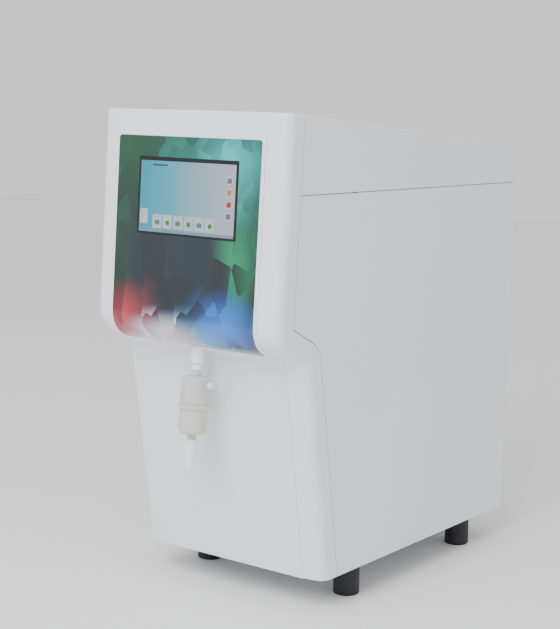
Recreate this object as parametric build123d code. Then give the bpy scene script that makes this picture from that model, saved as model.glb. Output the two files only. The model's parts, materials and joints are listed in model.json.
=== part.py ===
"""Bench-top laboratory water purification system: overhanging head with a touch display,
point-of-use capsule filter, lift-off lid, and the treatment train inside the case.

Millimetres, +Z up. The origin is on the table under the middle of the whole outline.
-Y is the front with the display, +X is the right-hand side seen from behind the object.
"""
import os
from math import cos, radians, sin, tan

from build123d import *

# Case, outside
CASE_WIDTH = 300.0
CASE_DEPTH = 591.0
FRONT_HEIGHT = 597.7        # case bottom to the front top edge
REAR_HEIGHT = 553.5         # case bottom to the rear top edge
FOOT_HEIGHT = 46.0
STEM_REACH = 25.0           # how far the rear tube stems stand out
HEAD_LEAN = 3.06            # degrees, head face, its bottom further forward
LOWER_LEAN = 9.7            # degrees, lower front, its bottom further back
UNDER_SLOPE = 26.6          # degrees, underside of the head, falling to the rear
BROW_HEIGHT = 317.0         # case bottom to the sharp corner under the head
UNDER_REACH = 61.0          # depth of the overhang
HEAD_RADIUS = 36.0
NECK_RADIUS = 5.0
CORNER_RADIUS = 15.0        # upright corners, seen from above
ROOF_RADIUS = 2.5
STRIP_DROP = 4.0            # side strips fall back this much towards the corners
PLATEAU_HALF = 120.0        # half width of the raised middle of the front
PLATEAU_RAISE = 2.0
PLATEAU_EDGE = 1.2
PLATEAU_MARGIN = 28.5       # plateau top edge below the front top edge
WALL = 3.0                  # moulded plastic
SHEET = 1.5                 # folded steel
PANEL = 2.0                 # side panels
CHEEK = 33.0                # depth of the front moulding's side returns
SEAM = 1.2                  # visible joint between covers
LID_SEAM_HEIGHT = 498.9     # case bottom to the lid's seam
FIT = 0.3                   # gap between pieces that move or lift off
SLACK = 0.5                 # gap between the frame and the covers
THREAD = 0.05               # radial gap of screws and pins

# Graphic film and display
FILM_HALF = 115.0
FILM_THICK = 0.4
FILM_MARGIN = 33.3          # film top edge below the front top edge
FILM_END = 30.0             # film end behind the sharp corner, along the underside
FILM_CORNER = 4.0
GLASS_WIDTH = 160.4
GLASS_HEIGHT = 97.0
GLASS_THICK = 1.8
GLASS_BELOW = 108.2         # display centre below the front top edge, along the face
GLASS_X = 1.5
LCD_WIDTH = 165.0
LCD_HEIGHT = 101.0
LCD_THICK = 5.4
LCD_NECK = 1.5              # glass carrier narrower than the glass all round
BRACKET_BORDER = 13.0
CABLE_SLOT = (50.0, 30.0)
BOARD_WIDTH = 150.0
BOARD_HEIGHT = 90.0
BOARD_THICK = 1.6
STANDOFF = 6.0
STANDOFF_RADIUS = 2.5
BOSS_RADIUS = 3.5

# Feet and base
FOOT_RADIUS = 17.7
FOOT_ROUND = 2.0
FOOT_X = 119.3
FOOT_FRONT_SETBACK = 212.6  # behind the front of the head
FOOT_REAR_SETBACK = 81.0    # ahead of the rear
FOOT_SCREW_RADIUS = 3.0
FOOT_HEAD_RADIUS = 6.5
FOOT_HEAD_HEIGHT = 4.0
FOOT_POCKET_RADIUS = 8.0
FOOT_POCKET_DEPTH = 30.0
FOOT_NUT_RADIUS = 5.8
FOOT_NUT_HEIGHT = 5.0
BASE_FLANGE = 25.0

# Inner frame
BULKHEAD_SETBACK = 158.0
BULKHEAD_TOP = 489.0        # above the case bottom
GUSSET_INSET = 20.0
GUSSET_TOP_DROP = 12.0
WINDOW_HALF = 30.0          # cable window in the bulkhead
WINDOW_DROP = 30.0
TRAY_THICK = 12.0
POCKET_DEPTH = 5.0
DECK_HEIGHT = 385.0         # upper deck above the case bottom
DECK_FLANGE = 12.0
HOLE_CLEARANCE = 1.0

# Cartridges and reactors: x, distance behind the bulkhead
CARTRIDGE_RADIUS = 54.0
CARTRIDGE_HEIGHT = 400.0
PRETREATMENT_AT = (-80.0, 64.0)
POLISHING_AT = (-80.0, 184.0)
RO_RADIUS = 32.0
RO_HEIGHT = 380.0
RO_AT = (22.0, 50.0)
RO_WALL = 3.5
UV_RADIUS = 26.0
UV_HEIGHT = 390.0
UV_AT = (22.0, 135.0)
UV_WALL = 1.5
HEAD_THICK = 26.0
HEAD_OVERLAP = 3.0
RIB_COUNT = 24
RIB_DEPTH = 1.5
TUBE_RADIUS = 3.0
TUBE_BEND = 20.0
STUB_HEIGHT = 14.0
PORT_STUB = 8.0
UV_CAP_HEIGHT = 20.0
LANE_FEED = 514.0           # heights of the crossing tubes above the case bottom
LANE_BOOSTER = 484.0
LANE_MEMBRANE = 464.0
LANE_DRAIN = 459.0
LANE_PRODUCT = 504.0
LANE_RETURN = 110.0
LANE_POLISHING = 524.0
LANE_LAMP = 472.0
DRAIN_TURN = 270.0          # behind the bulkhead
PRODUCT_TURN = 255.0
DROP_SETBACK = 42.0         # drops ahead of the rear stubs
PRODUCT_SETBACK = 32.0
VALVE_APPROACH = 36.0
PORT_SPREAD = 22.0

# Pumps
PUMP_X = 108.0
BOOSTER_FROM = 72.0         # booster motor's front end behind the bulkhead
LOOP_PUMP_FROM = 250.0
MOTOR_RADIUS = 30.0
MOTOR_LENGTH = 95.0
PUMP_HEAD_SIZE = 58.0
PUMP_HEAD_LENGTH = 38.0
PUMP_FOOT = 6.0
SADDLE_LENGTH = 60.0
SADDLE_WIDTH = 52.0
LOOP_PUMP_RADIUS = 24.0
LOOP_PUMP_LENGTH = 70.0
LOOP_HEAD_RADIUS = 20.0
LOOP_HEAD_LENGTH = 24.0

# Valve manifold
MANIFOLD_SIZE = (116.0, 34.0, 36.0)
MANIFOLD_AT = (-66.0, 112.0)     # x, ahead of the rear
MANIFOLD_OUTLET_X = -76.0
COIL_OFFSET = 22.0          # coils either side of the outlet stub
COIL_RADIUS = 14.0
COIL_HEIGHT = 34.0
SENSOR_RADIUS = 7.0
SENSOR_HEIGHT = 30.0
SENSOR_SHOULDER = 7.0
SENSOR_X = -30.0
SENSOR_SPREAD = 8.5

# Rear panel fittings
POWER_X = 95.0
POWER_HEIGHT = 52.0         # inlet centre above the case bottom
INLET_WIDTH = 30.0
INLET_HEIGHT = 44.0
INLET_DEPTH = 26.0
SOCKET_WIDTH = 24.6
SOCKET_HEIGHT = 16.6
SOCKET_DEPTH = 17.0
PIN_LENGTH = 11.0
FUSE_SLOT = (22.0, 8.0)
FUSE_DEPTH = 20.0
FUSE_RADIUS = 2.6
FUSE_LENGTH = 18.0
FLANGE_THICK = 2.0
FLANGE_BORDER = 5.0
SWITCH_HEIGHT = 110.0       # rocker centre above the case bottom
ROCKER_RADIUS = 10.3
ROCKER_WIDTH = 12.0
ROCKER_TILT = 6.0
ROCKER_SINK = 5.0           # pivot behind the flange's outer face
ROCKER_CREST = 5.5          # rocker's middle outside its pivot
ROCKER_PIN = 1.5
SWITCH_WIDTH = 19.0
SWITCH_LENGTH = 28.0
SWITCH_DEPTH = 20.0
PORT_HEIGHT = 90.0
PORT_PITCH = 34.0
PORT_FIRST_X = -118.0
PORT_COUNT = 4
STEM_RADIUS = 4.0
STEM_HEX = 8.5
STEM_HEX_LENGTH = 5.0
SHANK_RADIUS = 6.0
SHANK_INSIDE = 10.0
NUT_HEX = 9.5
NUT_LENGTH = 5.0
SUPPLY_SIZE = (96.0, 40.0, 190.0)
SUPPLY_HEIGHT = 170.0
SUPPLY_X = 85.0
MAIN_BOARD_SIZE = (110.0, 1.6, 160.0)
MAIN_BOARD_AT = (-62.0, 170.0)
VENT_COUNT = 12
VENT_LENGTH = 70.0
VENT_WIDTH = 3.5
VENT_PITCH = 10.0
SCREW_RADIUS = 1.5
SCREW_HEAD_RADIUS = 3.0
SCREW_HEAD_HEIGHT = 1.8
SCREW_LENGTH = 6.0
PANEL_FLANGE = 15.0

# Dispensing point
NOZZLE_SETBACK = 36.5       # nozzle axis behind the head's front at the underside
NOZZLE_HEIGHT = 297.0       # above the case bottom, on the nozzle axis
NOZZLE_LEAN = 5.5           # degrees, lower end further forward
NOZZLE_RADIUS = 8.7
NOZZLE_BELOW = 20.0         # straight part under the reference height
NOZZLE_TIP_RADIUS = 5.8
NOZZLE_TIP_LENGTH = 9.0
NOZZLE_ABOVE = 17.0
NOZZLE_FLANGE_RADIUS = 13.0
NOZZLE_FLANGE = 4.0
BOSS_WALL = 4.0
SPIGOT_RADIUS = 4.0
SPIGOT_LENGTH = 12.0
BORE_RADIUS = 2.0
VALVE_SIZE = 30.0
VALVE_HEIGHT = 26.0
VALVE_COIL_RADIUS = 12.0
VALVE_COIL_HEIGHT = 30.0

# Capsule filter, lengths along its axis from its top
CAPSULE_RADIUS = 18.3
CAPSULE_FLANGE_RADIUS = 21.6
CAPSULE_FLANGE = 2.4
CAPSULE_TOP_LENGTH = 40.0
CAPSULE_LOW_LENGTH = 37.0
CAPSULE_WALL = 1.6
CAPSULE_NECK_RADIUS = 6.2
CAPSULE_NECK = 5.0
CAPSULE_ROUND = 7.0
PLEAT_COUNT = 24
PLEAT_OUTER = 15.4
PLEAT_INNER = 11.4
CORE_RADIUS = 5.0
STUB_RADIUS = 3.4
STUB_BORE = 1.9
STUB_REACH = 3.5
VENT_DROP = 11.0            # vent stub axis below the capsule's top
DRAIN_RISE = 10.0           # drain stub axis above the capsule's bottom
PLUG_RADIUS = 4.3
PLUG_LENGTH = 5.0
PLUG_STEM = 5.0
OUTLET_NECK = 6.0
CONNECTOR_RADIUS = 7.3
CONNECTOR_LENGTH = 24.0
LATCH_SIZE = 3.0
LATCH_TRAVEL = 1.5
TIP_RADIUS = 6.1
TIP_LENGTH = 19.0

# Places worked out from the sizes above
FRONT_Y = -(CASE_DEPTH + STEM_REACH) / 2
REAR_Y = FRONT_Y + CASE_DEPTH
BOTTOM = FOOT_HEIGHT
HALF_WIDTH = CASE_WIDTH / 2
LID_SEAM = BOTTOM + LID_SEAM_HEIGHT
BULKHEAD_Y = FRONT_Y + BULKHEAD_SETBACK
BAY_Y = BULKHEAD_Y + SHEET
FRAME_HALF = HALF_WIDTH - WALL - SLACK
REAR_INSIDE = REAR_Y - SHEET
FLOOR = BOTTOM + SHEET
TRAY_TOP = FLOOR + TRAY_THICK
SEAT = TRAY_TOP - POCKET_DEPTH
DECK = BOTTOM + DECK_HEIGHT
FOOT_PLACES = {
    "foot_front_left": (-FOOT_X, FRONT_Y + FOOT_FRONT_SETBACK),
    "foot_front_right": (FOOT_X, FRONT_Y + FOOT_FRONT_SETBACK),
    "foot_rear_left": (-FOOT_X, REAR_Y - FOOT_REAR_SETBACK),
    "foot_rear_right": (FOOT_X, REAR_Y - FOOT_REAR_SETBACK),
}
FACE_UP = (sin(radians(HEAD_LEAN)), cos(radians(HEAD_LEAN)))
UNDER_BACK = (cos(radians(UNDER_SLOPE)), -sin(radians(UNDER_SLOPE)))
LOWER_DOWN = (sin(radians(LOWER_LEAN)), -cos(radians(LOWER_LEAN)))
HEAD_TURN = radians(90 - UNDER_SLOPE + HEAD_LEAN)
HEAD_BULGE = (HEAD_RADIUS * tan(HEAD_TURN / 2) * FACE_UP[0]
              - HEAD_RADIUS * (1 - FACE_UP[1]))
BROW = (FRONT_Y + PLATEAU_RAISE - HEAD_BULGE, BOTTOM + BROW_HEIGHT)
NECK = (BROW[0] + UNDER_REACH, BROW[1] - UNDER_REACH * tan(radians(UNDER_SLOPE)))
TOP_EDGE = (BROW[0] + (FRONT_HEIGHT - BROW_HEIGHT) * tan(radians(HEAD_LEAN)),
            BOTTOM + FRONT_HEIGHT)
ROOF_RUN = REAR_Y - TOP_EDGE[0]
ROOF_FALL = FRONT_HEIGHT - REAR_HEIGHT
ROOF_LENGTH = (ROOF_RUN ** 2 + ROOF_FALL ** 2) ** 0.5
ROOF_BACK = (ROOF_RUN / ROOF_LENGTH, -ROOF_FALL / ROOF_LENGTH)
BIG = 2 * (CASE_WIDTH + CASE_DEPTH)


def moved(point, direction, distance):
    """The point (y, z) shifted along a unit direction."""
    return (point[0] + direction[0] * distance, point[1] + direction[1] * distance)


def meet(point_a, along_a, point_b, along_b):
    """Crossing of two lines in the side view, each a point and a direction."""
    gap_y = point_b[0] - point_a[0]
    gap_z = point_b[1] - point_a[1]
    cross = along_a[0] * along_b[1] - along_a[1] * along_b[0]
    run = (gap_y * along_b[1] - gap_z * along_b[0]) / cross
    return moved(point_a, along_a, run)


def front_line(inset, roof=0.0, floor=0.0):
    """Top, brow, neck and toe corners of the front, moved into the case by the inset."""
    face = moved(BROW, (FACE_UP[1], -FACE_UP[0]), inset)
    under = moved(BROW, (-UNDER_BACK[1], UNDER_BACK[0]), inset)
    lower = moved(NECK, (-LOWER_DOWN[1], LOWER_DOWN[0]), inset)
    roof_point = moved(TOP_EDGE, (ROOF_BACK[1], -ROOF_BACK[0]), roof)
    top = meet(face, FACE_UP, roof_point, ROOF_BACK)
    brow = meet(face, FACE_UP, under, UNDER_BACK)
    neck = meet(under, UNDER_BACK, lower, LOWER_DOWN)
    toe = meet(lower, LOWER_DOWN, (0.0, BOTTOM + floor), (1.0, 0.0))
    return top, brow, neck, toe


def case_region(inset, rear=REAR_Y, roof=0.0, floor=0.0):
    """Side view of the case from the front line at an inset back to a rear line."""
    top, brow, neck, toe = front_line(inset, roof, floor)
    back_top = meet(top, ROOF_BACK, (rear, 0.0), (0.0, 1.0))
    corners = [top, brow, neck, toe, (rear, BOTTOM + floor), back_top]
    brow_round = max(HEAD_RADIUS - inset, 0.0)
    neck_round = NECK_RADIUS + inset
    radii = [0, brow_round, neck_round, 0, 0, 0]
    return make_face(FilletPolyline(*corners, radius=radii, close=True))


def across(face, low_x, high_x):
    """A side view drawn as (y, z), extruded from one x to another."""
    return extrude(Plane.YZ.offset(low_x) * face, high_x - low_x)


def polygon(points):
    return make_face(Polyline(*points, close=True))


def block(low, high):
    """A box from its lowest to its highest corner."""
    size = [high[i] - low[i] for i in range(3)]
    middle = [(high[i] + low[i]) / 2 for i in range(3)]
    return Pos(*middle) * Box(*size)


def below(height):
    return block((-BIG, -BIG, -BIG), (BIG, BIG, height))


def above(height):
    return block((-BIG, -BIG, height), (BIG, BIG, BIG))


def upright(radius, x, y, low, high):
    return Pos(x, y, (low + high) / 2) * Cylinder(radius, high - low)


def lengthwise(radius, x, z, front, back):
    """A cylinder along Y."""
    return Pos(x, (front + back) / 2, z) * Rot(90, 0, 0) * Cylinder(radius, back - front)


def turned(points):
    """A solid of revolution about Z from (radius, z) points."""
    return revolve(Plane.XZ * polygon(points), Axis.Z)


def tube(*points, bend=TUBE_BEND):
    """A round tube along straight runs joined by tangent arcs."""
    path = FilletPolyline(*points, radius=bend) if len(points) > 2 else Line(*points)
    start = Plane(origin=path @ 0, z_dir=path % 0)
    return sweep(start * Circle(TUBE_RADIUS), path=path)


def both_sides(solid):
    return solid + mirror(solid, about=Plane.YZ)


# Front moulding and what is fixed to it
def front_block(inset):
    """The front's outer form: flat middle, side strips that fall back, round corners."""
    half = HALF_WIDTH - inset
    rear = BULKHEAD_Y
    middle = Plane.YZ.offset(PLATEAU_HALF) * case_region(inset, rear, inset, inset)
    edge = Plane.YZ.offset(half) * case_region(inset + STRIP_DROP, rear, inset, inset)
    strip = loft([middle, edge], ruled=True)
    corners = strip.edges().filter_by(
        lambda e: e.center().X > half - 0.01 and e.center().Y < rear - CHEEK
        and BOTTOM + inset + 1 < e.center().Z < BOTTOM + FRONT_HEIGHT - inset - 8)
    strip = fillet(corners, CORNER_RADIUS - inset)
    core = across(case_region(inset, rear, inset, inset), -PLATEAU_HALF, PLATEAU_HALF)
    return core + both_sides(strip)


def plateau(inset, half, top):
    """The raised middle of the front, from under the head's top edge to the case bottom."""
    region = case_region(inset, BULKHEAD_Y, 0, max(inset, 0))
    return across(region, -half, half) & below(top)


FACE_PLANE = Plane(
    origin=(GLASS_X, *moved(moved(TOP_EDGE, FACE_UP, -GLASS_BELOW),
                            (-FACE_UP[1], FACE_UP[0]), PLATEAU_RAISE)),
    x_dir=(1, 0, 0), z_dir=(0, -FACE_UP[1], FACE_UP[0]))
NOZZLE_Y = FRONT_Y + NOZZLE_SETBACK
NOZZLE_AXIS = Pos(0, NOZZLE_Y, BOTTOM + NOZZLE_HEIGHT) * Rot(-NOZZLE_LEAN, 0, 0)
BRACKET_X = LCD_WIDTH / 2 + BRACKET_BORDER / 2
BRACKET_Z = LCD_HEIGHT / 2 - BRACKET_BORDER
BRACKET_POINTS = [(x, z) for x in (-BRACKET_X, BRACKET_X) for z in (-BRACKET_Z, BRACKET_Z)]


def on_face(shape, depth=0.0):
    """Something built flat on XY, set on the display's plane at a depth into the head."""
    return FACE_PLANE.offset(-depth) * shape


def plate(width, height, thick):
    """A plate whose front is at z 0 and which reaches back from there."""
    return Pos(0, 0, -thick / 2) * Box(width, height, thick)


def rod(radius, length):
    return Pos(0, 0, -length / 2) * Cylinder(radius, length)


def front_moulding():
    body = front_block(0)
    roof_edges = body.edges().filter_by(
        lambda e: e.center().Z > BOTTOM + FRONT_HEIGHT - CHEEK and e.center().Y < BULKHEAD_Y - 1
        and e.length > ROOF_RADIUS)
    body = fillet(roof_edges, ROOF_RADIUS)
    plateau_top = BOTTOM + FRONT_HEIGHT - PLATEAU_MARGIN
    raised = plateau(-PLATEAU_RAISE, PLATEAU_HALF, plateau_top)
    rims = raised.edges().filter_by(
        lambda e: e.center().Y < NECK[0] + UNDER_REACH and e.center().Z > BOTTOM + 1
        and (abs(e.center().X) > PLATEAU_HALF - 0.01 or e.center().Z > plateau_top - 0.01)
        and e.center().Y < FRONT_Y + BULKHEAD_SETBACK / 1.3)
    raised = fillet(rims, PLATEAU_EDGE)
    body = body + raised
    hollow = front_block(WALL)
    hollow = hollow + plateau(WALL - PLATEAU_RAISE, PLATEAU_HALF - WALL, plateau_top - WALL)
    nozzle_boss = NOZZLE_AXIS * Pos(0, 0, NOZZLE_ABOVE / 2) * Cylinder(
        NOZZLE_RADIUS + BOSS_WALL, NOZZLE_ABOVE + 2 * HEAD_RADIUS)
    nozzle_boss = nozzle_boss & (NOZZLE_AXIS * below(NOZZLE_ABOVE)) & body
    body = body - hollow
    behind = across(case_region(CHEEK, BULKHEAD_Y + 1), -BIG, BIG)
    body = body - behind
    body = body + nozzle_boss
    body = body - NOZZLE_AXIS * Cylinder(NOZZLE_RADIUS + FIT, 4 * HEAD_RADIUS)
    window = Pos(0, 0, 0) * Box(GLASS_WIDTH + FIT, GLASS_HEIGHT + FIT, 4 * WALL)
    body = body - on_face(window)
    for x, z in BRACKET_POINTS:
        boss = Pos(x, z) * (rod(BOSS_RADIUS, LCD_THICK) - rod(SCREW_RADIUS + THREAD, LCD_THICK))
        body = body + on_face(boss, WALL)
    return body


def graphic_film():
    outer = across(case_region(-PLATEAU_RAISE - FILM_THICK), -FILM_HALF, FILM_HALF)
    inner = across(case_region(-PLATEAU_RAISE), -BIG, BIG)
    top = BOTTOM + FRONT_HEIGHT - FILM_MARGIN
    film = (outer - inner) & below(top)
    end = moved(BROW, UNDER_BACK, FILM_END)
    beyond = Plane(origin=(0, *end), x_dir=(1, 0, 0), z_dir=(0, *UNDER_BACK))
    film = film - extrude(beyond * Rectangle(BIG, BIG / 3), BIG)
    film = film.solids().sort_by(Axis.Y)[0]
    corners = film.edges().filter_by(
        lambda e: abs(e.center().X) > FILM_HALF - 0.01 and e.length < 2 * FILM_THICK)
    film = fillet(corners, FILM_CORNER)
    return film - on_face(Box(GLASS_WIDTH + FIT, GLASS_HEIGHT + FIT, 4 * WALL))


def touch_glass():
    glass = Pos(0, 0, -GLASS_THICK / 2) * Box(GLASS_WIDTH, GLASS_HEIGHT, GLASS_THICK)
    return on_face(glass, -FILM_THICK)


def lcd_module():
    neck_depth = GLASS_THICK - FILM_THICK
    neck = plate(GLASS_WIDTH - 2 * LCD_NECK, GLASS_HEIGHT - 2 * LCD_NECK, WALL - neck_depth)
    shell = plate(LCD_WIDTH, LCD_HEIGHT, LCD_THICK)
    return on_face(neck, neck_depth) + on_face(shell, WALL)


def display_bracket():
    behind = WALL + LCD_THICK
    sheet = plate(LCD_WIDTH + 2 * BRACKET_BORDER, LCD_HEIGHT, SHEET)
    sheet = sheet - Box(*CABLE_SLOT, BIG)
    for x, z in BRACKET_POINTS:
        sheet = sheet - Pos(x, z) * Cylinder(SCREW_RADIUS + THREAD, BIG)
    return on_face(sheet, behind)


def bracket_screws():
    behind = WALL + LCD_THICK + SHEET
    screws = []
    for x, z in BRACKET_POINTS:
        head = rod(SCREW_HEAD_RADIUS, SCREW_HEAD_HEIGHT)
        shank = Pos(0, 0, SCREW_LENGTH) * rod(SCREW_RADIUS, SCREW_LENGTH)
        screws.append(on_face(Pos(x, z) * (head + shank), behind))
    return screws


def board_points():
    half_x = BOARD_WIDTH / 2 - 2 * STANDOFF_RADIUS
    half_z = BOARD_HEIGHT / 2 - 2 * STANDOFF_RADIUS
    return [(x, z) for x in (-half_x, half_x) for z in (-half_z, half_z)]


def display_board_posts():
    behind = WALL + LCD_THICK + SHEET
    return [on_face(Pos(x, z) * rod(STANDOFF_RADIUS, STANDOFF), behind)
            for x, z in board_points()]


def display_board():
    behind = WALL + LCD_THICK + SHEET + STANDOFF
    board = plate(BOARD_WIDTH, BOARD_HEIGHT, BOARD_THICK)
    chip = Pos(-30, 5, -BOARD_THICK) * plate(28, 28, 3)
    socket = Pos(30, -25, -BOARD_THICK) * plate(50, 9, 8)
    return on_face(board + chip + socket, behind)


# Covers
def side_panel(side):
    """Flat cover with a set-in lip for the lid and a flange for the rear panel."""
    top = LID_SEAM - SEAM / 2
    rear = REAR_Y
    region = case_region(CHEEK + SEAM, rear)
    skin = across(region, HALF_WIDTH - PANEL, HALF_WIDTH) & below(top)
    lip_face = HALF_WIDTH - WALL - FIT
    lip_front = BULKHEAD_Y + DECK_FLANGE
    lip = block((lip_face - PANEL, lip_front, top - 3 * DECK_FLANGE),
                (lip_face, rear - WALL - 4 * FIT, top + DECK_FLANGE))
    jog = block((lip_face - PANEL, lip_front, top - 3 * DECK_FLANGE),
                (HALF_WIDTH - PANEL, rear - WALL - 4 * FIT, top - DECK_FLANGE / 2))
    flange = block((HALF_WIDTH - PANEL_FLANGE, REAR_INSIDE - PANEL, BOTTOM + BASE_FLANGE + 5),
                   (HALF_WIDTH - PANEL, REAR_INSIDE, top - 4 * DECK_FLANGE))
    panel = skin + lip + jog + flange
    for height in screw_heights():
        hole = lengthwise(SCREW_RADIUS + THREAD, HALF_WIDTH - PANEL_FLANGE / 2 - PANEL / 2,
                          height, REAR_INSIDE - 2 * PANEL, REAR_Y)
        panel = panel - hole
    return panel if side > 0 else mirror(panel, about=Plane.YZ)


def screw_heights():
    return [BOTTOM + BASE_FLANGE + 20 + i * 120 for i in range(4)]


def top_lid():
    region = case_region(CHEEK + SEAM, REAR_Y)
    shell = across(region, -HALF_WIDTH, HALF_WIDTH)
    edges = shell.edges().filter_by(
        lambda e: abs(e.center().X) > HALF_WIDTH - 0.01
        and (e.center().Z > LID_SEAM + 30 and e.center().Y > TOP_EDGE[0] + CHEEK + 20))
    shell = fillet(edges, ROOF_RADIUS)
    hollow = across(case_region(CHEEK / 2, REAR_Y - WALL, WALL), WALL - HALF_WIDTH,
                    HALF_WIDTH - WALL)
    shell = (shell - hollow) & above(LID_SEAM + SEAM / 2)
    ledge_low = LID_SEAM - SEAM / 2 + DECK_FLANGE + FIT
    ledge = block((HALF_WIDTH - WALL - 6, BULKHEAD_Y + 2 * DECK_FLANGE, ledge_low),
                  (HALF_WIDTH - WALL, REAR_Y - 20, ledge_low + 2.5))
    return shell + both_sides(ledge)


def base_pan():
    front = front_line(CHEEK + SEAM)[3][0]
    floor = block((PANEL - HALF_WIDTH, front, BOTTOM),
                  (HALF_WIDTH - PANEL, REAR_INSIDE, FLOOR))
    side = block((HALF_WIDTH - PANEL - SHEET, BULKHEAD_Y + 5, BOTTOM),
                 (HALF_WIDTH - PANEL, REAR_INSIDE, BOTTOM + BASE_FLANGE))
    back = block((PANEL - HALF_WIDTH, REAR_INSIDE - SHEET, BOTTOM),
                 (HALF_WIDTH - PANEL, REAR_INSIDE, BOTTOM + BASE_FLANGE))
    pan = floor + both_sides(side) + back
    for x, y in FOOT_PLACES.values():
        pan = pan - upright(FOOT_SCREW_RADIUS + THREAD, x, y, 0, 2 * BOTTOM)
    return pan


def rear_panel():
    top = LID_SEAM - SEAM / 2
    sheet = block((PANEL - HALF_WIDTH, REAR_INSIDE, BOTTOM), (HALF_WIDTH - PANEL, REAR_Y, top))
    for x in port_places():
        sheet = sheet - lengthwise(SHANK_RADIUS + THREAD, x, BOTTOM + PORT_HEIGHT, 0, BIG)
    inlet_z = BOTTOM + POWER_HEIGHT
    sheet = sheet - Pos(POWER_X, REAR_Y, inlet_z) * Box(
        INLET_WIDTH + 2 * THREAD, 4 * SHEET, INLET_HEIGHT + 2 * THREAD)
    sheet = sheet - Pos(POWER_X, REAR_Y, BOTTOM + SWITCH_HEIGHT) * Box(
        SWITCH_WIDTH + 2 * THREAD, 4 * SHEET, SWITCH_LENGTH + 2 * THREAD)
    slot = Rot(90, 0, 0) * extrude(SlotOverall(VENT_LENGTH, VENT_WIDTH), 2 * SHEET, both=True)
    for i in range(VENT_COUNT):
        z = BOTTOM + SUPPLY_HEIGHT + (i + 3.5) * VENT_PITCH
        sheet = sheet - Pos(SUPPLY_X - 5, REAR_Y, z) * slot
    for x in (-1, 1):
        for height in screw_heights():
            place = x * (HALF_WIDTH - PANEL_FLANGE / 2 - PANEL / 2)
            sheet = sheet - lengthwise(SCREW_RADIUS + THREAD, place, height, 0, BIG)
    return sheet


def rear_screws():
    screws = []
    for x in (-1, 1):
        for height in screw_heights():
            place = x * (HALF_WIDTH - PANEL_FLANGE / 2 - PANEL / 2)
            head = lengthwise(SCREW_HEAD_RADIUS, place, height, REAR_Y, REAR_Y + SCREW_HEAD_HEIGHT)
            shank = lengthwise(SCREW_RADIUS, place, height, REAR_Y - SCREW_LENGTH, REAR_Y)
            screws.append(head + shank)
    return screws


def cover_screws():
    """Alike screws of the display bracket and the rear panel."""
    return Compound(children=bracket_screws() + rear_screws())


# Feet
def foot(x, y):
    body = upright(FOOT_RADIUS, x, y, 0, FOOT_HEIGHT)
    sole = body.edges().filter_by(lambda e: e.center().Z < 0.01)
    body = fillet(sole, FOOT_ROUND)
    body = body - upright(FOOT_POCKET_RADIUS, x, y, -1, FOOT_POCKET_DEPTH)
    return body - upright(FOOT_SCREW_RADIUS + THREAD, x, y, 0, FOOT_HEIGHT + 1)


def foot_screws():
    screws = []
    for x, y in FOOT_PLACES.values():
        head = upright(FOOT_HEAD_RADIUS, x, y, FOOT_POCKET_DEPTH - FOOT_HEAD_HEIGHT,
                       FOOT_POCKET_DEPTH)
        shank = upright(FOOT_SCREW_RADIUS, x, y, FOOT_POCKET_DEPTH, FLOOR + FOOT_NUT_HEIGHT)
        screws.append(head + shank)
    return Compound(children=screws)


def hexagon(apothem):
    return RegularPolygon(apothem, 6, major_radius=False)


def foot_nuts():
    nuts = []
    for x, y in FOOT_PLACES.values():
        nut = extrude(hexagon(FOOT_NUT_RADIUS) - Circle(FOOT_SCREW_RADIUS + THREAD),
                      FOOT_NUT_HEIGHT)
        nuts.append(Pos(x, y, FLOOR) * nut)
    return Compound(children=nuts)


# Inner frame
def front_frame():
    """Bulkhead sheet with side gussets that reach forward into the head."""
    top = BOTTOM + BULKHEAD_TOP
    sheet = block((-FRAME_HALF, BULKHEAD_Y, FLOOR), (FRAME_HALF, BAY_Y, top))
    region = case_region(GUSSET_INSET, BAY_Y, GUSSET_TOP_DROP, GUSSET_INSET)
    gusset = across(region, FRAME_HALF - SHEET, FRAME_HALF)
    foot_flange = block((-FRAME_HALF, BULKHEAD_Y, FLOOR), (FRAME_HALF, BAY_Y + 10, FLOOR + SHEET))
    window_top = top - WINDOW_DROP
    window = block((-WINDOW_HALF, BULKHEAD_Y - 1, window_top - 2 * WINDOW_HALF),
                   (WINDOW_HALF, BAY_Y + 1, window_top))
    return sheet + both_sides(gusset) + foot_flange - window


def spots():
    """Round things that stand in the tray: (x, y, radius)."""
    return {
        "pretreatment": (PRETREATMENT_AT[0], BAY_Y + PRETREATMENT_AT[1], CARTRIDGE_RADIUS),
        "polishing": (POLISHING_AT[0], BAY_Y + POLISHING_AT[1], CARTRIDGE_RADIUS),
        "ro": (RO_AT[0], BAY_Y + RO_AT[1], RO_RADIUS),
        "uv": (UV_AT[0], BAY_Y + UV_AT[1], UV_RADIUS),
    }


def cartridge_tray():
    """Moulded tray with a round pocket under each cartridge."""
    left = PRETREATMENT_AT[0] - CARTRIDGE_RADIUS - 6
    right = RO_AT[0] + RO_RADIUS + 6
    tray = block((left, BAY_Y + 10 + SLACK, FLOOR),
                 (right, BAY_Y + POLISHING_AT[1] + CARTRIDGE_RADIUS + 6, TRAY_TOP))
    for x, y, radius in spots().values():
        tray = tray - upright(radius + SLACK, x, y, SEAT, TRAY_TOP + 1)
    for x, y in FOOT_PLACES.values():
        tray = tray - upright(2 * FOOT_NUT_RADIUS, x, y, FLOOR - 1, TRAY_TOP + 1)
    return tray


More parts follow.
